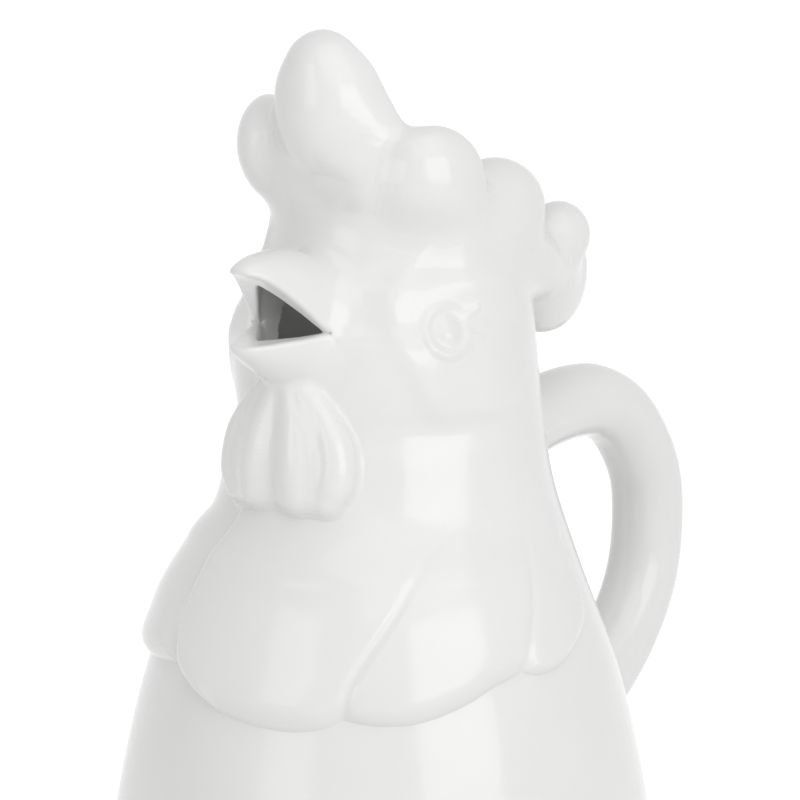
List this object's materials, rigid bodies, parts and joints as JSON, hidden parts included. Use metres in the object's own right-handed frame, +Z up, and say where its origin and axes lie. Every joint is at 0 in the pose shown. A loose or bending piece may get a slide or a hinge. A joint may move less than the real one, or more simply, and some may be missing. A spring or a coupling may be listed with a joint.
{
  "type": "pitcher",
  "caption": "White glazed figural pitcher: round belly, neck as a hen's head with open beak spout, lobed comb round the fill mouth, wattles, hackle feathers and a loop handle.",
  "frame": {"origin": "centre of the flat foot, on the vessel's axis", "axes": "+Z up along the vessel's axis; the beak points along -Y and the handle along +Y; +X is the bird's left side"},
  "size_m": [0.139, 0.1972, 0.2376],
  "materials": {
    "glaze": "clear glossy glaze over white clay, smooth and slightly uneven"
  },
  "bodies": {
    "root": {"belly": "glaze", "head_shell": "glaze", "upper_beak": "glaze", "lower_beak": "glaze", "left_wattle": "glaze", "right_wattle": "glaze", "left_eye": "glaze", "right_eye": "glaze", "comb_front": "glaze", "comb_left": "glaze", "comb_right": "glaze", "comb_back": "glaze", "hackle_front": "glaze", "hackle_left_1": "glaze", "hackle_left_2": "glaze", "hackle_right_1": "glaze", "hackle_right_2": "glaze", "handle": "glaze"}
  },
  "joints": []
}
